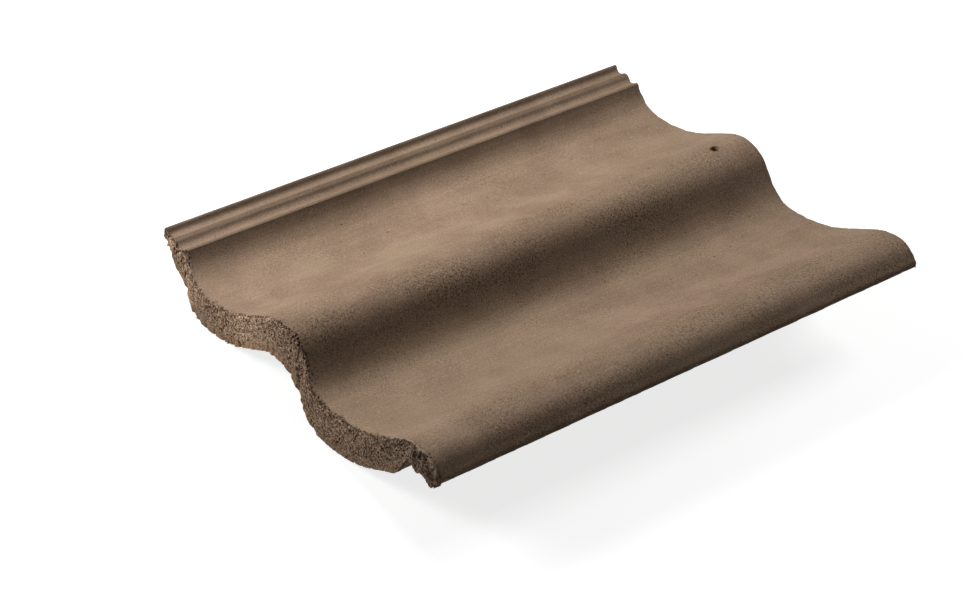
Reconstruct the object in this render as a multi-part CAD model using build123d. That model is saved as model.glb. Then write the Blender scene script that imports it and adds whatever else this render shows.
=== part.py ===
from build123d import *
import os
from math import cos, radians, sin, tan

# Concrete interlocking roof tile with two rolls, lying flat as it would on a floor.
# X runs across the tile from the underlock to the overlock, Y along it from the
# tail to the head, and Z up. The origin is at the middle of the tile, on the floor.
# All sizes are in millimetres.

# Overall sizes
LENGTH = 420.0            # tail to head
COVER_WIDTH = 300.0       # width that one laid tile shows
SIDE_LAP = 30.0           # width of the underlock, hidden by the next tile
ROLLS = 2                 # rolls across the cover width
BODY_THICKNESS = 12.0     # measured square to the surface

# The wave of the upper surface, measured from the bottom of a pan
ROLL_HEIGHT = 32.0        # crest of the middle roll
OVERLOCK_HEIGHT = 35.5    # crest of the roll that covers the side joint
RISE_ANGLE = 29.0         # slope of the long side of a roll
FALL_ANGLE = 53.0         # slope of the short side of a roll
CREST_RISE_RADIUS = 48.0  # crest, long side
CREST_FALL_RADIUS = 25.0  # crest, short side
FOOT_RADIUS = 28.0        # foot of the short side
OVERLOCK_RADIUS = 21.0    # outer shoulder of the overlock

# Side locks and upper edges
LOCK_OUTER_HEIGHT = 19.0  # top of the underlock at its free edge
LOCK_INNER_HEIGHT = 16.0  # top of the underlock at the pan
UNDERLOCK_THICKNESS = 8.0
GROOVE_RADIUS = 5.5
GROOVE_DEPTH = 3.0
GROOVE_PITCH = 14.4
GROOVE_FROM_EDGE = 8.1
LOCK_CLEARANCE = 1.5      # gap between the ribs of two laid tiles
RIB_ROUND = 3.0           # both sides of the rib between the grooves
RIM_ROUND = 1.4           # the outer and the inner rib
ARRIS_ROUND = 2.0         # upper outer edge of the overlock
LIP_CHAMFER = 4.0         # lower outer edge of the overlock
HEAD_ROUND = 1.5          # upper edge of the head

# Tail nose, which closes onto the tile below
NOSE_DEPTH = 28.0         # upright thickness
NOSE_LENGTH = 16.0
NOSE_ROUND = 4.0          # upper edge of the tail
NOSE_HEEL_ROUND = 6.0     # lower edge of the nose's back
NOSE_START = 46.0         # first foot of the nose, from the underlock's edge
NOSE_END_ANGLE = 60.0     # slope of the nose's two ends

# Weather bars across the underside
BAR_DEPTH = 4.0
BAR_WIDTH = 8.0
BAR_FIRST = 38.0          # tail to the first bar
BAR_SPACING = 24.0
BAR_COUNT = 2
BAR_ROUND = 2.0           # lower edges of each bar

# Hanging nibs under the head
NIB_WIDTH = 42.0
NIB_ROOT = 18.0           # length along the tile where it leaves the body
NIB_TIP = 13.0            # length along the tile at its foot
NIB_SETBACK = 2.0         # head to the back of the nib's root
NIB_ROUND = 1.5           # edges of the foot

# Nail hole
NAIL_HOLE_DIAMETER = 6.5
NAIL_FROM_HEAD = 29.0
NAIL_FROM_CREST = 6.5     # on the long side of the middle roll

# Sizes that follow from the ones above
WIDTH = COVER_WIDTH + SIDE_LAP
ROLL_REPEAT = COVER_WIDTH / ROLLS
FAR = 2.0 * WIDTH         # reach of the helper outlines, beyond the tile on every side
TOUCHING = 0.001          # distance under which an edge lies on a surface


def fillet_run(height, angle, low_radius, high_radius):
    """Return the level run and the straight slope between two level tangent arcs."""
    radii = low_radius + high_radius
    run = height / tan(radians(angle)) + radii * tan(radians(angle / 2.0))
    straight = (height - radii * (1.0 - cos(radians(angle)))) / sin(radians(angle))
    return run, straight


# The pan's radius is the one that fills the roll repeat with no flat between the arcs.
FALL_RUN, FALL_STRAIGHT = fillet_run(ROLL_HEIGHT, FALL_ANGLE, FOOT_RADIUS, CREST_FALL_RADIUS)
RISE_TANGENT = ROLL_REPEAT - FALL_RUN - ROLL_HEIGHT / tan(radians(RISE_ANGLE))
PAN_RADIUS = RISE_TANGENT / tan(radians(RISE_ANGLE / 2.0)) - CREST_RISE_RADIUS
RISE_RUN, RISE_STRAIGHT = fillet_run(ROLL_HEIGHT, RISE_ANGLE, PAN_RADIUS, CREST_RISE_RADIUS)
LAST_RUN, LAST_STRAIGHT = fillet_run(OVERLOCK_HEIGHT, RISE_ANGLE, PAN_RADIUS, CREST_RISE_RADIUS)

LOCK_DROP, FLANK_STRAIGHT = fillet_run(LOCK_INNER_HEIGHT, FALL_ANGLE, FOOT_RADIUS, 0.0)
FIRST_PAN = SIDE_LAP + LOCK_DROP
FIRST_CREST = FIRST_PAN + RISE_RUN
PANS = [FIRST_PAN + ROLL_REPEAT * i for i in range(ROLLS)]


def trace(start, heading, depth, steps):
    """Draw straight runs and tangent arcs, all lying `depth` to the right of the path."""
    x = start[0] + depth * sin(radians(heading))
    y = start[1] - depth * cos(radians(heading))
    edges = []
    for size, turn in steps:
        direction = (cos(radians(heading)), sin(radians(heading)))
        if turn == 0:
            edge = Line((x, y), (x + size * direction[0], y + size * direction[1]))
        else:
            radius = size + depth if turn > 0 else size - depth
            edge = JernArc(start=(x, y), tangent=direction, radius=radius, arc_size=turn)
        edges.append(edge)
        x, y = (edge @ 1).X, (edge @ 1).Y
        heading += turn
    return edges


def below_wave(depth):
    """Return everything under the line that lies `depth` below the upper surface."""
    lead = 2.0 * SIDE_LAP
    start = (
        SIDE_LAP - lead * cos(radians(FALL_ANGLE)),
        LOCK_INNER_HEIGHT + lead * sin(radians(FALL_ANGLE)),
    )
    foot = (FOOT_RADIUS, FALL_ANGLE)
    pan = (PAN_RADIUS, RISE_ANGLE)
    crest_rise = (CREST_RISE_RADIUS, -RISE_ANGLE)
    steps = [(lead + FLANK_STRAIGHT, 0), foot]
    for _ in range(ROLLS - 1):
        crest_fall = (CREST_FALL_RADIUS, -FALL_ANGLE)
        steps += [pan, (RISE_STRAIGHT, 0), crest_rise, crest_fall, (FALL_STRAIGHT, 0), foot]
    steps += [pan, (LAST_STRAIGHT, 0), crest_rise, (OVERLOCK_RADIUS, -90.0)]
    line = trace(start, -FALL_ANGLE, depth, steps)
    first = line[0] @ 0
    last = line[-1] @ 1
    closing = Polyline(
        (last.X, last.Y), (last.X, -FAR), (first.X, -FAR), (first.X, first.Y)
    )
    return make_face(line + [closing])


def area(*points):
    """Return a flat outline with straight sides."""
    return make_face(Polyline(*points, close=True))


def lock_line(x):
    """Return the height of the underlock's top, a straight slope from edge to pan."""
    return LOCK_OUTER_HEIGHT + (LOCK_INNER_HEIGHT - LOCK_OUTER_HEIGHT) * x / SIDE_LAP


def grooves(radius):
    """Return the round grooves of the underlock, or the ribs that fit them."""
    result = []
    for i in range(2):
        x = GROOVE_FROM_EDGE + GROOVE_PITCH * i
        y = lock_line(x) - GROOVE_DEPTH + GROOVE_RADIUS
        result.append(Pos(x, y) * Circle(radius))
    return result


def round_ribs(outline, left, right, radius):
    """Round the upper corners of the ribs between two places across the underlock."""
    corners = outline.vertices().filter_by_position(Axis.X, left, right)
    return fillet(corners.filter_by_position(Axis.Y, 0, FAR), radius)


def upper_outline():
    """Return everything under the tile's upper surface, from edge to edge."""
    lock = area((0, lock_line(0)), (0, -FAR), (SIDE_LAP, -FAR), (SIDE_LAP, lock_line(SIDE_LAP)))
    strip = area((SIDE_LAP, FAR), (SIDE_LAP, -FAR), (WIDTH, -FAR), (WIDTH, FAR))
    outline = (below_wave(0.0) & strip) + (lock - grooves(GROOVE_RADIUS))
    second_groove = GROOVE_FROM_EDGE + GROOVE_PITCH
    outline = round_ribs(outline, 0, GROOVE_FROM_EDGE, RIM_ROUND)
    outline = round_ribs(outline, GROOVE_FROM_EDGE, second_groove, RIB_ROUND)
    outline = round_ribs(outline, second_groove, SIDE_LAP - RIM_ROUND, RIM_ROUND)
    arris = outline.vertices().sort_by_distance((WIDTH, OVERLOCK_HEIGHT))[0]
    return fillet(arris, ARRIS_ROUND)


def overlock_room():
    """Return the room that the next tile's underlock takes under the overlock."""
    left = COVER_WIDTH - LOCK_CLEARANCE
    right = WIDTH + SIDE_LAP
    room = area(
        (left, lock_line(left - COVER_WIDTH) + LOCK_CLEARANCE),
        (left, -FAR),
        (right, -FAR),
        (right, lock_line(right - COVER_WIDTH) + LOCK_CLEARANCE),
    )
    return room - [Pos(COVER_WIDTH, 0) * rib for rib in grooves(GROOVE_RADIUS - LOCK_CLEARANCE)]


def chamfer_lip(section):
    """Take off the lower outer corner of the overlock."""
    lip = section.vertices().sort_by_distance((WIDTH, lock_line(SIDE_LAP) + LOCK_CLEARANCE))[0]
    return chamfer(lip, LIP_CHAMFER)


def body_section(depth):
    """Return the tile's section where the body is `depth` thick."""
    under = below_wave(depth)
    flange = lock_line(0) - UNDERLOCK_THICKNESS
    shelf = area((-SIDE_LAP, flange), (-SIDE_LAP, FAR), (SIDE_LAP, FAR), (SIDE_LAP, flange))
    beyond = area((-SIDE_LAP, FAR), (-SIDE_LAP, -FAR), (SIDE_LAP, -FAR), (SIDE_LAP, FAR))
    strip = area(
        (SIDE_LAP, FAR), (SIDE_LAP, -FAR),
        (COVER_WIDTH - LOCK_CLEARANCE, -FAR), (COVER_WIDTH - LOCK_CLEARANCE, FAR),
    )
    hollow = (under & strip) + ((under & beyond) - shelf) + overlock_room()
    return chamfer_lip(upper_outline() - hollow)


def nose_section():
    """Return the section of the tail, which is thicker and follows the tile below."""
    below = Pos(0, -NOSE_DEPTH) * below_wave(0.0)
    strip = area((SIDE_LAP, FAR), (SIDE_LAP, -FAR), (WIDTH + SIDE_LAP, -FAR), (WIDTH + SIDE_LAP, FAR))
    slope = tan(radians(NOSE_END_ANGLE))
    left = area(
        (NOSE_START - FAR / slope, FAR - NOSE_DEPTH), (NOSE_START, -NOSE_DEPTH),
        (NOSE_START, -FAR), (-FAR, -FAR), (-FAR, FAR - NOSE_DEPTH),
    )
    top = COVER_WIDTH - LOCK_CLEARANCE
    foot = top - (lock_line(0) + LOCK_CLEARANCE + NOSE_DEPTH) / slope
    right = area(
        (foot, -NOSE_DEPTH), (foot, -FAR), (top, -FAR), (top, lock_line(0) + LOCK_CLEARANCE)
    )
    return chamfer_lip(upper_outline() - ((below & strip) + left + right + overlock_room()))


def along(face, near, far):
    """Extrude a section between two distances from the tail."""
    place = Plane(
        origin=(-WIDTH / 2, far - LENGTH / 2, NOSE_DEPTH), x_dir=(1, 0, 0), z_dir=(0, -1, 0)
    )
    return extrude(place * face, amount=far - near)


def nib(middle):
    """Return one hanging nib, with an upright face towards the tail."""
    back = LENGTH / 2 - NIB_SETBACK
    front = back - NIB_ROOT
    root = NOSE_DEPTH - BODY_THICKNESS / 2
    side = Polyline(
        (front, root), (front, 0), (front + NIB_TIP, 0), (back, root), close=True
    )
    place = Plane(
        origin=(middle - WIDTH / 2 - NIB_WIDTH / 2, 0, 0), x_dir=(0, 1, 0), z_dir=(1, 0, 0)
    )
    block = extrude(place * make_face(side), amount=NIB_WIDTH)
    return fillet(block.edges().group_by(Axis.Z)[0], NIB_ROUND)


def nail_hole():
    """Return the pin that leaves the nail hole, upright through the middle roll."""
    x = FIRST_CREST - NAIL_FROM_CREST - WIDTH / 2
    y = LENGTH / 2 - NAIL_FROM_HEAD
    return Pos(x, y, NOSE_DEPTH) * Cylinder(NAIL_HOLE_DIAMETER / 2, FAR)


def curved_faces(outline):
    """Return the faces that an outline sweeps along the tile."""
    return along(outline, 0, LENGTH).faces().filter_by(Axis.Y, reverse=True)


def edges_touching(tile, from_tail, shapes):
    """Return the tile's edges at a distance from the tail that touch one of the shapes."""
    y = from_tail - LENGTH / 2
    edges = tile.edges().filter_by_position(Axis.Y, y, y)
    return [e for e in edges if min(shape.distance_to(e @ 0.5) for shape in shapes) < TOUCHING]


def roof_tile():
    """Return the whole tile as one solid."""
    weather_face = curved_faces(below_wave(0.0))
    nose_space = [along(Pos(0, -NOSE_DEPTH) * below_wave(0.0), 0, NOSE_LENGTH)]
    tile = along(body_section(BODY_THICKNESS), 0, LENGTH)
    tile += along(nose_section(), 0, NOSE_LENGTH)
    tile = fillet(edges_touching(tile, 0, weather_face), NOSE_ROUND)
    tile = fillet(edges_touching(tile, LENGTH, weather_face), HEAD_ROUND)
    tile = fillet(edges_touching(tile, NOSE_LENGTH, nose_space), NOSE_HEEL_ROUND)
    bar_depth = BODY_THICKNESS + BAR_DEPTH
    bar_face = curved_faces(below_wave(bar_depth))
    for i in range(BAR_COUNT):
        near = BAR_FIRST + BAR_SPACING * i
        bar = along(body_section(bar_depth), near, near + BAR_WIDTH)
        for end in (near, near + BAR_WIDTH):
            bar = fillet(edges_touching(bar, end, bar_face), BAR_ROUND)
        tile += bar
    for middle in PANS:
        tile += nib(middle)
    return tile - nail_hole()


os.makedirs("parts", exist_ok=True)
export_step(roof_tile(), "parts/roof_tile.step")
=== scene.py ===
"""Dress a concrete interlocking roof tile and set it in a plain studio.

The tile's shape comes from the loaded frame. The dressed mesh stands for it and adds the
cut tail's open grain, worn edges and the colours of the concrete. All sizes are in metres.
"""

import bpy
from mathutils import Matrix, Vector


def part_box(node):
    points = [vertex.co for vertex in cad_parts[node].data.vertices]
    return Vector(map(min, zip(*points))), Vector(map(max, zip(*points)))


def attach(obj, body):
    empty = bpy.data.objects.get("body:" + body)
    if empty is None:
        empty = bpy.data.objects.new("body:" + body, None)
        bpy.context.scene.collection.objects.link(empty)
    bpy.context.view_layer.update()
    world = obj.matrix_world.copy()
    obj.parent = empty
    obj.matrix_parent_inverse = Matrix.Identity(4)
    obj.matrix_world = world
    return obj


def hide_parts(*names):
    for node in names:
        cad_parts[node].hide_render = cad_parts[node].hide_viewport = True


bl_info = {
    "name": "Concrete roof tile",
    "version": (1, 0, 0),
    "blender": (4, 5, 0),
    "location": "3D View > Sidebar > Roof tile",
    "description": "Dress a concrete interlocking roof tile and light it in a plain studio",
    "category": "Object",
}

from bisect import bisect
from math import ceil, radians

import bmesh
import bpy
from bpy.props import FloatProperty, FloatVectorProperty, PointerProperty
from mathutils import Matrix, Vector, noise
from mathutils.bvhtree import BVHTree

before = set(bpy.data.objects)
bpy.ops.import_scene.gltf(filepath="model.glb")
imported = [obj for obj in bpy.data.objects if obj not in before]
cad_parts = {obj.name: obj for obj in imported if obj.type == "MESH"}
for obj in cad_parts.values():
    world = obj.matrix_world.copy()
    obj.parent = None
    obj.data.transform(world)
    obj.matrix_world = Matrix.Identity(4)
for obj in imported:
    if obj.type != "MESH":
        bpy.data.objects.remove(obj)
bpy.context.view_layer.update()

MM = 0.001

# Stretches across the tile, from the underlock's edge, with the widest face in each.
COLUMN_STRETCHES = (
    (0.0, 30 * MM, 0.7 * MM), (30 * MM, 36 * MM, 0.75 * MM),
    (36 * MM, 296 * MM, 2.65 * MM), (296 * MM, 330 * MM, 0.9 * MM))
# Stretches along the tile, from the tail, with the longest face in each.
ROW_STRETCHES = (
    (0.0, 15 * MM, 1.9 * MM), (15 * MM, 400 * MM, 5 * MM), (400 * MM, 420 * MM, 1.4 * MM))
DEPTH_STEPS = 10          # faces from the upper surface to the lower one
WALL_GAP = 0.015 * MM     # distance from an upright wall to each of the two places beside it
TAIL_REACH = 12 * MM      # how far behind the cut end the faces are finer
SHARP_ANGLE = radians(50)  # two faces that meet at more than this keep a sharp edge

# Middle of the nail hole, and how far its rings of faces reach, in radii of the hole.
NAIL_HOLE = (-16.02 * MM, 181 * MM)
RING_REACH = 1.8

# Where the lamps stand, and the place, turns and sensor of the camera.
KEY_LAMP_PLACE = (-0.442, -0.039, 0.475)
TAIL_LAMP_PLACE = (-0.39, -0.675, 0.45)
HEAD_LAMP_PLACE = (0.0, 1.386, 0.8)
CAMERA_PLACE = (1.02411, -0.89912, 1.00913)
CAMERA_HEADING, CAMERA_PITCH, CAMERA_ROLL = radians(50.23), radians(90 - 36.62), radians(3.9)
SENSOR_WIDTH = 36.0
FLOOR_HALF = 4.0

# How far the cut end's upper and lower edges are worn back, in mm, at places across the
# tile in mm.
WORN_TOP = ((0, 7.0), (30, 5.5), (48, 1.2), (62, 0), (118, 0.3), (150, 2.2), (175, 4.6),
            (192, 0.8), (270, 0.2), (294, 2.2), (316, 1.8), (330, 0.8))
WORN_FOOT = ((0, 6.8), (12, 2.2), (24, 0.4), (34, 1.9), (75, 1.4), (100, 0.2), (150, 0.8),
             (180, 0.6), (195, 0), (330, 0))
# How far the broken grain climbs past the worn upper edge, in the same way.
GRAIN_REACH = ((0, 0.6), (30, 1.4), (52, 1.2), (85, 1.4), (118, 2.8), (150, 3.2), (175, 3.4),
               (198, 2.4), (230, 2.6), (270, 2.0), (294, 1.6), (316, 0.7), (330, 0.4))
# Where the slurry is thin and coarse sand shows, from 0 to 1 in the same way; the same curve also
# places painted shade, a warm tint and dark pores, most on the steep falls of the two rolls.
THIN_SLURRY_AND_SHADE = ((0, 0.2), (40, 0.15), (110, 0.05), (150, 0.5), (174, 1.0), (188, 0.4),
               (215, 0.15), (262, 0.15), (300, 0.55), (330, 0.6))
# Painted light and shade on the face and the cut tail, as factors in the same way: painted shade in
# the underlock's grooves and on the first roll's fall, painted light at that fall's foot and on the
# overlock's lip, and on the cut tail lighter under the underlock and darker towards the overlock.
FACE_PAINTED_LIGHT = ((0, 0.5), (4, 0.55), (7, 0.85), (11, 0.78), (15, 0.55), (19, 0.92), (23, 0.84),
             (26, 0.78), (29.5, 0.58), (33, 0.86), (38, 1.06), (46, 1.06), (55, 1.0),
             (170, 1.0), (177, 0.8), (183, 0.95), (189, 1.1), (196, 1.18), (204, 1.08),
             (214, 1.0), (300, 1.0), (322, 1.04), (326, 1.08), (328, 1.4), (329.4, 1.35),
             (330, 0.9))
CUT_PAINTED_LIGHT = ((0, 0.9), (20, 1.0), (45, 1.4), (110, 1.3), (160, 0.84), (200, 0.88),
            (240, 0.82), (290, 0.72), (314, 0.6), (330, 0.56))


def linear(code):
    """Turn an sRGB hex colour into linear values with full alpha."""
    parts = [int(code[i:i + 2], 16) / 255 for i in (1, 3, 5)]
    return (*(c / 12.92 if c <= 0.04045 else ((c + 0.055) / 1.055) ** 2.4 for c in parts), 1.0)


def smooth_step(low, high, value):
    """Rise smoothly from 0 at low to 1 at high."""
    t = min(1.0, max(0.0, (value - low) / (high - low)))
    return t * t * (3.0 - 2.0 * t)


def places(stretches, walls):
    """Return the grid places along one axis, with a close pair at each upright wall."""
    result = set()
    for low, high, widest in stretches:
        count = ceil((high - low) / widest)
        result |= {low + (high - low) * i / count for i in range(count + 1)}
    end = stretches[-1][1]
    inner = [w for w in walls if 0.5 * MM < w < end - 0.5 * MM]
    kept = [p for p in result if all(abs(p - w) > 0.45 * MM for w in inner)]
    pairs = [w + side * WALL_GAP for w in inner for side in (-1, 1)]
    return sorted(kept + pairs)


def wall_places(mesh, axis, start):
    """Return where the mesh has upright faces square to an axis, measured from a start."""
    sizes = {}
    for face in mesh.polygons:
        if abs(face.normal[axis]) > 0.99999:
            place = round(face.center[axis] - start, 5)
            sizes[place] = sizes.get(place, 0.0) + face.area
    return [place for place, size in sizes.items() if size > 20 * MM * MM]


class HeightReader:
    """Reads the upper and lower height of the frame's tile at a point of the plan."""

    def __init__(self, mesh, low, high):
        vertices = [v.co.copy() for v in mesh.vertices]
        self.tree = BVHTree.FromPolygons(vertices, [tuple(p.vertices) for p in mesh.polygons])
        self.low, self.high = low, high

    def read(self, x, y, upper):
        """Read the upper or the lower height, just inside the edges of the tile."""
        edge = 0.03 * MM
        x = min(max(x, self.low.x + edge), self.high.x - edge)
        y = min(max(y, self.low.y + edge), self.high.y - edge)
        inward = -1.0 if y > 0 else 1.0
        # A ray can slip between two faces or down the nail hole, so others follow beside it.
        for aside in (0.0, 0.04 * MM, 0.1 * MM, 8 * MM):
            start = Vector((x * (1 - aside), y + inward * aside, 1.0 if upper else -1.0))
            hit = self.tree.ray_cast(start, Vector((0, 0, -1 if upper else 1)))[0]
            if hit is not None:
                return hit.z
        raise RuntimeError(f"the frame has no height at {x}, {y}")

    def read_face(self, x, y):
        """Read the upper height, and smooth out the flat facets of the wave's arcs."""
        if not 50 * MM < x - self.low.x < 288 * MM:
            return self.read(x, y, True)
        return sum(self.read(x + step * MM, y, True) for step in (-5, -2.5, 0, 2.5, 5)) / 5


def grid_block(columns, rows, hole, radius):
    """Return a closed block of faces round a nail hole, with its depth from 0 on top to 1."""
    block = bmesh.new()
    corners = {}

    def corner(i, j, k):
        if (i, j, k) not in corners:
            corners[i, j, k] = block.verts.new((columns[i], rows[j], k / DEPTH_STEPS))
        return corners[i, j, k]

    # The grid squares round the hole make way for rings of faces.
    left, right = (bisect(columns, hole[0] + side * RING_REACH * radius) for side in (-1, 1))
    near, far = (bisect(rows, hole[1] + side * RING_REACH * radius) for side in (-1, 1))
    left, near = left - 1, near - 1
    last_i, last_j = len(columns) - 1, len(rows) - 1
    for i in range(last_i):
        for j in range(last_j):
            if left <= i < right and near <= j < far:
                continue
            square = ((i, j), (i + 1, j), (i + 1, j + 1), (i, j + 1))
            block.faces.new([corner(a, b, 0) for a, b in square])
            block.faces.new([corner(a, b, DEPTH_STEPS) for a, b in reversed(square)])
    for k in range(DEPTH_STEPS):
        for i in range(last_i):
            square = ((i, k), (i, k + 1), (i + 1, k + 1), (i + 1, k))
            block.faces.new([corner(a, 0, b) for a, b in square])
            block.faces.new([corner(a, last_j, b) for a, b in reversed(square)])
        for j in range(last_j):
            square = ((j, k), (j + 1, k), (j + 1, k + 1), (j, k + 1))
            block.faces.new([corner(0, a, b) for a, b in square])
            block.faces.new([corner(last_i, a, b) for a, b in reversed(square)])

    border = [(i, near) for i in range(left, right)] + [(right, j) for j in range(near, far)]
    border += [(i, far) for i in range(right, left, -1)] + [(left, j) for j in range(far, near, -1)]
    rings = [[corner(i, j, 0) for i, j in border]]
    for k in range(DEPTH_STEPS + 1):
        ring = []
        # The upper rim is wider, ragged and chipped.
        wide = (1.3, 1.12)[k] if k < 2 else 1.0
        for i, j in border:
            way = Vector((columns[i] - hole[0], rows[j] - hole[1], 0.0)).normalized()
            reach = radius * (1 + (wide - 1) * (1 + 1.4 * noise.noise(way * 2.1)))
            x, y = hole[0] + way.x * reach, hole[1] + way.y * reach
            ring.append(block.verts.new((x, y, k / DEPTH_STEPS)))
        rings.append(ring)
    rings.append([corner(i, j, DEPTH_STEPS) for i, j in border])
    for upper, lower in zip(rings, rings[1:]):
        for a in range(len(border)):
            b = (a + 1) % len(border)
            block.faces.new((upper[a], upper[b], lower[b], lower[a]))
    return block


def refine_tail(block, reach):
    """Cut the faces near the tail into smaller ones, on the face further than underneath."""
    chosen = []
    for edge in block.edges:
        a, b = edge.verts[0].co, edge.verts[1].co
        across = abs(a.x - b.x)
        limit = reach if max(a.z, b.z) == 0 or min(a.y, b.y) == 0 else 4 * MM
        if max(a.y, b.y) <= limit and (across == 0 or across > 1.2 * MM):
            if across > 0 or abs(a.y - b.y) > 0.5 * MM or a.z != b.z:
                chosen.append(edge)
    bmesh.ops.subdivide_edges(block, edges=chosen, cuts=3, use_grid_fill=True)


def read_curve(points, across):
    """Read a smooth curve through points in mm at a place across the tile, in metres."""
    x = across / MM
    for (x0, y0), (x1, y1) in zip(points, points[1:]):
        if x <= x1:
            return (y0 + (y1 - y0) * smooth_step(x0, x1, x)) * MM
    return points[-1][1] * MM


def grain_edge(across):
    """Return how far the open grain reaches up from the cut end, with its ragged line."""
    ragged = 1.0 * noise.noise(Vector((across / (11 * MM), 3.1, 0.0)))
    ragged += 0.8 * noise.noise(Vector((across / (3.4 * MM), 8.7, 0.0)))
    return read_curve(WORN_TOP, across) + read_curve(GRAIN_REACH, across) + ragged * MM


def crumbs(place, size):
    """Return from 0 to 1 how much has crumbled away at a place, in bites of a real size."""
    rough = noise.noise(place / size) + 0.5 * noise.noise(place / (0.4 * size))
    return smooth_step(-0.25, 0.55, rough)


def hollow_share(place, inside, foot, grain_size):
    """Return from 0 to 1 how deep a hollow between the grains is, by the way into the cut."""
    tall = Vector((place.x, place.y, 0.7 * place.z))
    # Hollows stand thickest just under the upper edge.
    level = 0.2 + 0.12 * foot + 0.12 * max(0.0, -inside / MM)
    level -= 0.16 * max(0.0, 1 - abs(inside / MM - 0.8) / 2)
    level -= 0.06 * noise.noise(place / (9 * MM))
    large = smooth_step(level, level + 0.3, noise.noise(tall / grain_size))
    small = smooth_step(0.15, 0.5, noise.noise(tall / (0.6 * grain_size)))
    broken = smooth_step(-0.5 * MM, 0.5 * MM, inside)
    return min(1.0, large + 0.3 * broken * small)


def shape_tile(block, reader, look):
    """Move the block's corners onto the frame's tile, then wear and grain them."""
    low, high = reader.low, reader.high
    width, length = high.x - low.x, high.y - low.y
    # What the material reads at each corner: the cut end, its hollows for painted shade and its
    # smoother foot, the overlock's lower lip, the pale rim with its painted highlight, where the
    # slurry is thin and painted shade goes, and painted light and shade for it all.
    names = ("cut", "painted_pit_shade", "foot", "lip", "worn_rim_highlight", "thin_slurry_and_shade", "painted_light_and_shade")
    layers = {name: block.verts.layers.float.new(name) for name in names}
    for vert in block.verts:
        across, along, share = vert.co
        x, y = low.x + across, low.y + along
        # The frame's tile has a rounded head, and the real one an edge that is hardly worn.
        top = reader.read_face(x, min(y, high.y - 1.6 * MM)) if share < 1 else 0.0
        bottom = reader.read(x, y, False) if share > 0 else 0.0
        worn = read_curve(WORN_TOP, across) * (1 - share) + read_curve(WORN_FOOT, across) * share
        y += worn * max(0.0, 1 - along / (25 * MM)) ** 2
        # Bites out of the tail's foot, and smaller ones along its upper edge.
        bite = 0.2 + 0.8 * smooth_step(0.55, 1.0, share) * smooth_step(215 * MM, 180 * MM, across)
        bite *= crumbs(Vector((x, share * 4 * MM, 5.3)), 5 * MM)
        y += look.foot_wear * bite * max(0.0, 1 - along / (8 * MM)) ** 2
        if along > length - 0.1 * MM:
            y -= look.head_wear * crumbs(Vector((x, share * 10 * MM, 0.7)), 6 * MM)
        vert.co = (x, y, top + (bottom - top) * share)
        smoother = smooth_step(0.5, 0.95, share) * (along == 0)
        vert[layers["foot"]] = smoother * (1 - 0.55 * smooth_step(150 * MM, 200 * MM, across))
        at_lip = smooth_step(width - 5 * MM, width - 2 * MM, across)
        vert[layers["lip"]] = at_lip * (share > 0)
        cloud = smooth_step(-0.5, 0.4, noise.noise(Vector((x, y * 0.4, 2.0)) / (22 * MM)))
        vert[layers["thin_slurry_and_shade"]] = read_curve(THIN_SLURRY_AND_SHADE, across) / MM * (0.35 + 0.65 * cloud)
    block.normal_update()
    moves = []
    for vert in block.verts:
        place = vert.co
        across = place.x - low.x
        foot = vert[layers["foot"]]
        inside = grain_edge(across) - (place.y - low.y)
        broken = smooth_step(-0.5 * MM, 0.5 * MM, inside)
        depth = hollow_share(place, inside, foot, look.grain_size) if inside > -4 * MM else 0.0
        swell = look.swell * (0.5 + 0.5 * noise.noise(place / (28 * MM)))
        sink = (swell + 0.15 * MM * broken) * (1 - foot)
        sink += look.pit_depth * depth * (1 - 0.6 * foot)
        notch = smooth_step(0.0, 0.5, noise.noise(Vector((1.0, place.y, 1.7)) / (9 * MM)))
        sink += vert[layers["lip"]] * look.lip_wear * notch
        vert[layers["cut"]] = broken
        vert[layers["painted_pit_shade"]] = depth
        # The overlock's upper edge shows a pale line: partly worn concrete, partly a painted
        # highlight.
        near_edge = max(0.0, 1 - abs(inside / MM + 0.3))
        vert[layers["worn_rim_highlight"]] = near_edge * smooth_step(262 * MM, 285 * MM, across)
        face_painted_light, cut_painted_light = (read_curve(curve, across) / MM for curve in (FACE_PAINTED_LIGHT, CUT_PAINTED_LIGHT))
        # Painted shade darkens the colour in the hollows along the cut's upper edge.
        shade = 1 - 0.3 * max(0.0, 1 - abs(inside / MM - 0.7) / 1.2)
        vert[layers["painted_light_and_shade"]] = (face_painted_light + (cut_painted_light - face_painted_light) * broken) * shade
        moves.append((vert, vert.normal * -sink))
    # Nothing leaves the box of the frame's tile.
    for vert, move in moves:
        vert.co = [min(max(c, a), b) for c, a, b in zip(vert.co + move, low, high)]


def add(tree, kind, inputs=None, **settings):
    """Add a shader node, set its properties, and feed its inputs values or other outputs."""
    node = tree.nodes.new("ShaderNode" + kind)
    for name, value in settings.items():
        setattr(node, name, value)
    for key, value in (inputs or {}).items():
        if isinstance(value, bpy.types.NodeSocket):
            tree.links.new(value, node.inputs[key])
        else:
            node.inputs[key].default_value = value
    return node


def new_material(name):
    """Return an empty node material, its tree and its surface shader."""
    material = bpy.data.materials.new(name)
    material.use_nodes = True
    tree = material.node_tree
    tree.nodes.clear()
    shader = add(tree, "BsdfPrincipled")
    add(tree, "OutputMaterial", {"Surface": shader.outputs["BSDF"]})
    return material, tree, shader


def pattern(tree, place, size, low, high, detail=2.0, rough=0.55):
    """Return noise with features of a real size, spread from 0 to 1 between two levels."""
    cloud = add(tree, "TexNoise", {
        "Vector": place, "Scale": 1 / size, "Detail": detail, "Roughness": rough})
    return add(tree, "MapRange", {"Value": cloud.outputs["Fac"], "From Min": low, "From Max": high},
               interpolation_type="SMOOTHSTEP").outputs["Result"]


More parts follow.
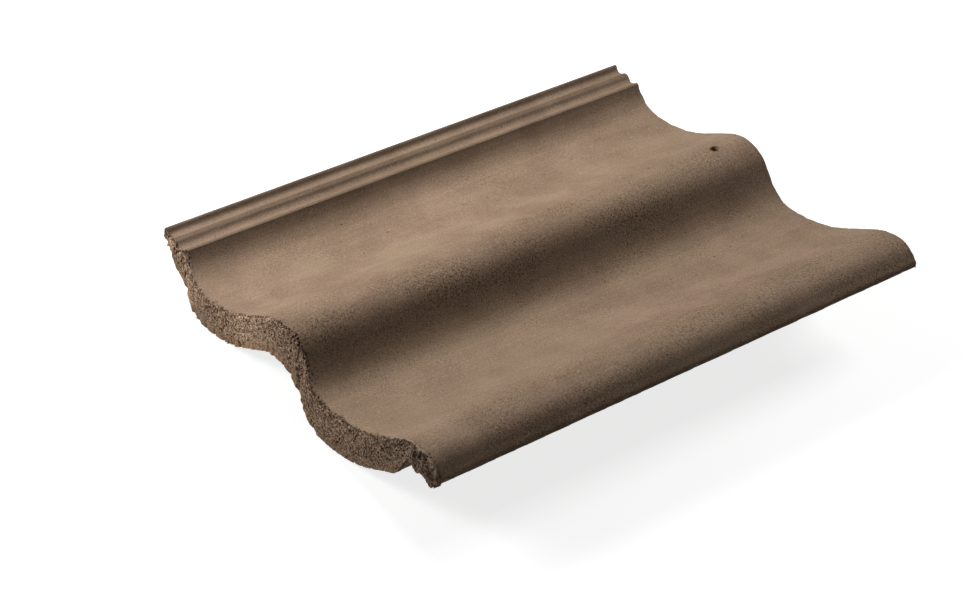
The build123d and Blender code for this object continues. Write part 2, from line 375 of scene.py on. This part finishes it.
def blend(tree, factor, first, second, kind="MIX"):
    """Return one colour laid over another."""
    return add(tree, "Mix", {0: factor, 6: first, 7: second},
               data_type="RGBA", blend_type=kind).outputs[2]


def times(tree, first, second):
    """Return the product of two values."""
    return add(tree, "Math", {0: first, 1: second}, operation="MULTIPLY").outputs[0]


def larger(tree, first, second):
    """Return the larger of two values."""
    return add(tree, "Math", {0: first, 1: second}, operation="MAXIMUM").outputs[0]


def between(tree, value, low, high):
    """Return a level between low and high for a value from 0 to 1."""
    return add(tree, "MapRange", {"Value": value, "To Min": low, "To Max": high}).outputs["Result"]


def spots(tree, place, size, reach):
    """Return soft round spots, one in each cell of a real size, out to a share of the cell."""
    cells = add(tree, "TexVoronoi", {"Vector": place, "Scale": 1 / size})
    distance = cells.outputs["Distance"]
    return add(tree, "MapRange", {"Value": distance, "From Min": reach, "From Max": 0.6 * reach},
               interpolation_type="SMOOTHSTEP").outputs["Result"]


def concrete_material(look):
    """Return brown through-coloured concrete, extruded, slurried smooth and cut at the tail."""
    # Slurry gives the eye an even, matt face with faint drag marks, and the knife that parts
    # the extruded strip tears grains out, which leaves the tail open and rough.
    material, tree, shader = new_material("Brown through-coloured concrete, extruded and slurried")
    place = add(tree, "TexCoord").outputs["Object"]
    cut, painted_pit_shade, foot, worn_rim_highlight, thin_slurry_and_shade, painted_light_and_shade = (
        add(tree, "Attribute", attribute_name=name).outputs["Fac"]
        for name in ("cut", "painted_pit_shade", "foot", "worn_rim_highlight", "thin_slurry_and_shade", "painted_light_and_shade"))

    # The slurried face: brown with faint pinkish and olive clouds and drag marks.
    clouds = pattern(tree, place, 42 * MM, 0.34, 0.66, 3.0)
    face = blend(tree, clouds, look.face_dark, look.face_light)
    tint = pattern(tree, place, 75 * MM, 0.4, 0.6, 1.0)
    face = blend(tree, times(tree, tint, 0.35), face, look.face_olive)
    drag = add(tree, "Mapping", {"Vector": place, "Scale": (1.0, 0.06, 1.0)}).outputs["Vector"]
    streaks = pattern(tree, drag, 2.6 * MM, 0.35, 0.65, 3.0)
    face = blend(tree, times(tree, streaks, 0.1), face, look.sand_dark)

    # Sand under the slurry: dark and pale specks; where the slurry is thin, a painted warm shade,
    # open pores darkened with painted shade, and pale grit.
    patches = pattern(tree, place, 30 * MM, 0.4, 0.65, 2.0)
    amount = between(tree, patches, 0.25, 0.55)
    dark = pattern(tree, place, 1.1 * MM, 0.5, 0.66, 2.0, 0.7)
    face = blend(tree, times(tree, dark, amount), face, look.sand_dark)
    pale = pattern(tree, place, 1.4 * MM, 0.56, 0.72, 1.0)
    face = blend(tree, times(tree, pale, 0.16), face, look.sand_light)
    pores = pattern(tree, place, 1.3 * MM, 0.53, 0.63, 1.5, 0.65)
    # Painted shade: a warm tint on the steep falls, where the thin-slurry curve peaks.
    face = blend(tree, times(tree, thin_slurry_and_shade, 0.4), face, look.painted_shade_warmth)
    face = blend(tree, times(tree, pores, times(tree, thin_slurry_and_shade, 0.9)), face, look.painted_hollow_shade)
    grit = pattern(tree, place, 1.5 * MM, 0.56, 0.68, 1.0)
    face = blend(tree, times(tree, grit, times(tree, thin_slurry_and_shade, 0.3)), face, look.sand_light)
    # Small dark pocks in the painted shade colour, and pale specks along the drag marks.
    face = blend(tree, times(tree, spots(tree, place, 13 * MM, 0.065), 0.75), face, look.painted_hollow_shade)
    face = blend(tree, times(tree, spots(tree, drag, 29 * MM, 0.035), 0.55), face, look.sand_light)

    # The cut tail: sand grains of many browns, with painted shade in the hollows where grains fell
    # out.
    cells = add(tree, "TexVoronoi", {"Vector": place, "Scale": 1 / (1.0 * MM)})
    shade = add(tree, "SeparateColor", {"Color": cells.outputs["Color"]}).outputs["Red"]
    ramp = add(tree, "ValToRGB", {"Fac": shade})
    stops = ramp.color_ramp.elements
    stops[0].position, stops[0].color = 0.0, look.grain_dark
    stops[1].position, stops[1].color = 1.0, look.grain_cream
    stops.new(0.4).color = look.grain_mid
    stops.new(0.965).color = look.grain_light
    broken = blend(tree, times(tree, foot, 0.6), ramp.outputs["Color"], look.grain_foot)
    tall = add(tree, "Mapping", {"Vector": place, "Scale": (1.0, 1.0, 0.7)}).outputs["Vector"]
    painted_hollow_shade = pattern(tree, tall, 0.85 * MM, 0.52, 0.61, 1.5, 0.6)
    open_share = between(tree, foot, 0.75, 0.35)
    broken = blend(tree, times(tree, painted_hollow_shade, open_share), broken, look.painted_hollow_shade)
    colour = blend(tree, cut, face, broken)
    # Pale line on the overlock's worn edge: partly wear, partly painted highlight.
    colour = blend(tree, times(tree, worn_rim_highlight, 0.4), colour, look.sand_light)
    # Painted shade in the pits of the cut tail.
    colour = blend(tree, times(tree, painted_pit_shade, 0.85), colour, look.painted_hollow_shade)
    # Painted light and shade, as factors across the tile.
    colour = blend(tree, 1.0, colour, painted_light_and_shade, "MULTIPLY")
    tree.links.new(colour, shader.inputs["Base Color"])
    shader.inputs["Roughness"].default_value = 0.85
    shader.inputs["IOR"].default_value = 1.45
    shader.inputs["Specular IOR Level"].default_value = 0.12

    # Fine relief: sand under the slurry, coarser where that is thin, and rough grit on the cut.
    fine = add(tree, "TexNoise", {
        "Vector": place, "Scale": 1 / (1.1 * MM), "Detail": 3.0, "Roughness": 0.65})
    depth = between(tree, larger(tree, thin_slurry_and_shade, cut), 0.35 * MM, 0.9 * MM)
    bump = add(tree, "Bump", {"Height": fine.outputs["Fac"], "Strength": 1.0, "Distance": depth})
    tree.links.new(bump.outputs["Normal"], shader.inputs["Normal"])
    return material


def colour_setting(name, code, description):
    """Return a colour property with an sRGB hex default."""
    return FloatVectorProperty(
        name=name, description=description, default=linear(code), size=4, subtype="COLOR")


def length_setting(name, size, description):
    """Return a length property with a default in metres."""
    return FloatProperty(name=name, description=description, default=size, unit="LENGTH")


def power_setting(name, power, description):
    """Return a lamp's power property with a default in watts."""
    return FloatProperty(name=name, description=description, default=power, unit="POWER")


class TileLook(bpy.types.PropertyGroup):
    """Sizes and colours of the dressed tile."""

    grain_size: length_setting("Grain size", 1.05 * MM, "Distance between grains on the cut tail")
    pit_depth: length_setting("Pit depth", 1.1 * MM, "Depth of the hollows on the cut tail")
    foot_wear: length_setting("Foot wear", 1.7 * MM, "Depth of the bites out of the tail's foot")
    lip_wear: length_setting("Lip wear", 2.2 * MM, "Depth of the chips under the overlock's edge")
    swell: length_setting("Swell", 0.15 * MM, "Depth of the gentle unevenness of every face")
    head_wear: length_setting("Head wear", 0.7 * MM, "Depth of the chips along the head's edge")
    hole_size: length_setting("Nail hole", 6.6 * MM, "Diameter of the nail hole")
    face_dark: colour_setting("Dark face", "#89725F", "Darker cloud of the slurried face")
    face_light: colour_setting("Light face", "#9B836F", "Lighter cloud of the slurried face")
    # Painted shade: the warm tint of the shade on the steep falls.
    painted_shade_warmth: colour_setting("Warm face", "#866A51", "Reddish brown where the slurry is thin")
    face_olive: colour_setting("Olive face", "#8E7B62", "Olive cloud of the slurried face")
    sand_dark: colour_setting("Dark sand", "#4A3A2D", "Dark specks of the slurried face")
    sand_light: colour_setting("Pale sand", "#D6C4AC", "Pale specks of the slurried face")
    grain_dark: colour_setting("Dark grain", "#6A5343", "Darkest grains of the cut tail")
    grain_mid: colour_setting("Brown grain", "#AF917A", "Common grains of the cut tail")
    grain_light: colour_setting("Light grain", "#D0B193", "Light grains of the cut tail")
    grain_cream: colour_setting("Cream grain", "#E6D6BF", "Few pale grains of the cut tail")
    grain_foot: colour_setting("Foot of the tail", "#B08E6B", "Smoother lower band of the cut tail")
    # Painted shade of hollows, pores, pits and small pocks.
    painted_hollow_shade: colour_setting("Hollow", "#301F16", "Hollows where grains fell out")


class StudioLook(bpy.types.PropertyGroup):
    """Lamps, floor and camera of the studio."""

    key_power: power_setting("Key lamp", 3.07, "Power of the soft lamp beside the underlock")
    key_size: length_setting("Key size", 0.23, "Side of the soft lamp beside the underlock")
    tail_power: power_setting("Tail lamp", 3.7, "Power of the low lamp before the tail")
    tail_size: length_setting("Tail size", 0.27, "Side of the low lamp before the tail")
    head_power: power_setting("Head lamp", 14.0, "Power of the far lamp behind the head")
    head_size: length_setting("Head size", 0.48, "Side of the far lamp behind the head")
    surroundings: FloatProperty(
        name="Surroundings", description="Strength of the even white light from all sides",
        default=0.012)
    lens: FloatProperty(
        name="Lens", description="Focal length in millimetres on a 36 mm wide sensor", default=88.9)


class OBJECT_OT_dress_roof_tile(bpy.types.Operator):
    """Build the dressed roof tile on the frame's tile"""

    bl_idname = "object.dress_roof_tile"
    bl_label = "Dress the roof tile"

    def execute(self, context):
        look = context.scene.tile_look
        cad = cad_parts["roof_tile"]
        low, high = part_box("roof_tile")
        reader = HeightReader(cad.data, low, high)
        columns = places(COLUMN_STRETCHES, wall_places(cad.data, 0, low.x))
        rows = places(ROW_STRETCHES, wall_places(cad.data, 1, low.y))
        if abs(columns[-1] - (high.x - low.x)) > MM or abs(rows[-1] - (high.y - low.y)) > MM:
            raise RuntimeError("the frame's tile has another size than the grid")
        hole = (NAIL_HOLE[0] - low.x, NAIL_HOLE[1] - low.y)
        block = grid_block(columns, rows, hole, look.hole_size / 2)
        refine_tail(block, TAIL_REACH)
        shape_tile(block, reader, look)
        bmesh.ops.recalc_face_normals(block, faces=block.faces)
        mesh = bpy.data.meshes.new("dressed roof tile")
        block.to_mesh(mesh)
        block.free()
        tile = bpy.data.objects.new("roof_tile_dressed", mesh)
        context.scene.collection.objects.link(tile)
        tile.data.shade_smooth()
        tile.data.set_sharp_from_angle(angle=SHARP_ANGLE)
        tile.data.materials.append(concrete_material(look))
        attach(tile, "root")
        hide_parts("roof_tile")
        return {"FINISHED"}


class SCENE_OT_roof_tile_studio(bpy.types.Operator):
    """Add the floor, the lamps, the surroundings and the camera"""

    bl_idname = "scene.roof_tile_studio"
    bl_label = "Set up the studio"

    def execute(self, context):
        scene = context.scene
        look = scene.studio_look
        add_floor(scene)
        add_lamp(scene, "key lamp", Vector(KEY_LAMP_PLACE), look.key_size, look.key_power)
        add_lamp(scene, "tail lamp", Vector(TAIL_LAMP_PLACE), look.tail_size, look.tail_power)
        add_lamp(scene, "head lamp", Vector(HEAD_LAMP_PLACE), look.head_size, look.head_power)
        add_surroundings(scene, look.surroundings)
        add_camera(scene, look.lens)
        scene.view_settings.view_transform = "Standard"
        return {"FINISHED"}


def seen_directly(tree):
    """Return 1 where the camera sees a thing straight, in a mirror or through glass, else 0."""
    path = add(tree, "LightPath").outputs
    mirrored = larger(tree, path["Is Camera Ray"], path["Is Glossy Ray"])
    return larger(tree, mirrored, path["Is Transmission Ray"])


def add_floor(scene):
    """Add a plain pale floor that runs out of the picture on every side."""
    mesh = bpy.data.meshes.new("floor")
    corners = [(x * FLOOR_HALF, y * FLOOR_HALF, 0) for x, y in ((-1, -1), (1, -1), (1, 1), (-1, 1))]
    mesh.from_pydata(corners, [], [(0, 1, 2, 3)])
    floor = bpy.data.objects.new("floor", mesh)
    floor.location.z = -0.05 * MM
    scene.collection.objects.link(floor)
    material, tree, shader = new_material("White studio paper, matt")
    # The paper shows almost white, and still throws only a grey card's light onto the tile.
    shader.inputs["Base Color"].default_value = linear("#BCBCBC")
    shader.inputs["Roughness"].default_value = 0.9
    shader.inputs["Specular IOR Level"].default_value = 0.0
    shader.inputs["Emission Color"].default_value = linear("#FFFFFF")
    tree.links.new(times(tree, seen_directly(tree), 0.8), shader.inputs["Emission Strength"])
    mesh.materials.append(material)


def add_lamp(scene, name, place, size, power):
    """Add a square soft lamp that faces the tile."""
    data = bpy.data.lights.new(name, "AREA")
    data.shape = "SQUARE"
    data.size = size
    data.energy = power
    lamp = bpy.data.objects.new(name, data)
    lamp.location = place
    lamp.rotation_euler = (-place).to_track_quat("-Z", "Y").to_euler()
    lamp.visible_camera = False
    scene.collection.objects.link(lamp)


def add_surroundings(scene, strength):
    """Fill the studio with even white light, and show it as white."""
    world = bpy.data.worlds.new("white surroundings")
    scene.world = world
    world.use_nodes = True
    tree = world.node_tree
    tree.nodes.clear()
    shown = between(tree, seen_directly(tree), strength, 1.0)
    light = add(tree, "Background", {"Color": (1, 1, 1, 1), "Strength": shown})
    add(tree, "OutputWorld", {"Surface": light.outputs["Background"]})


def add_camera(scene, lens):
    """Add the camera, placed by the perspective of the tile's edges."""
    data = bpy.data.cameras.new("camera")
    data.lens = lens
    data.sensor_width = SENSOR_WIDTH
    data.sensor_fit = "HORIZONTAL"
    data.clip_start, data.clip_end = 0.05, 20.0
    camera = bpy.data.objects.new("camera", data)
    turn = Matrix.Rotation(CAMERA_HEADING, 4, "Z") @ Matrix.Rotation(CAMERA_PITCH, 4, "X")
    roll = Matrix.Rotation(CAMERA_ROLL, 4, "Z")
    camera.matrix_world = Matrix.Translation(CAMERA_PLACE) @ turn @ roll
    scene.collection.objects.link(camera)
    scene.camera = camera


class VIEW3D_PT_roof_tile(bpy.types.Panel):
    """Buttons and settings for the roof tile"""

    bl_label = "Roof tile"
    bl_space_type = "VIEW_3D"
    bl_region_type = "UI"
    bl_category = "Roof tile"

    def draw(self, context):
        for settings in (context.scene.tile_look, context.scene.studio_look):
            for name in settings.__annotations__:
                self.layout.prop(settings, name)
        for operator in (OBJECT_OT_dress_roof_tile, SCENE_OT_roof_tile_studio):
            self.layout.operator(operator.bl_idname)


CLASSES = (TileLook, StudioLook, OBJECT_OT_dress_roof_tile, SCENE_OT_roof_tile_studio,
           VIEW3D_PT_roof_tile)


def register():
    for item in CLASSES:
        bpy.utils.register_class(item)
    bpy.types.Scene.tile_look = PointerProperty(type=TileLook)
    bpy.types.Scene.studio_look = PointerProperty(type=StudioLook)


def unregister():
    del bpy.types.Scene.studio_look
    del bpy.types.Scene.tile_look
    for item in reversed(CLASSES):
        bpy.utils.unregister_class(item)


def main():
    """Build the dressed tile and its studio."""
    register()
    bpy.ops.object.dress_roof_tile()
    bpy.ops.scene.roof_tile_studio()


if __name__ == "__main__":
    main()
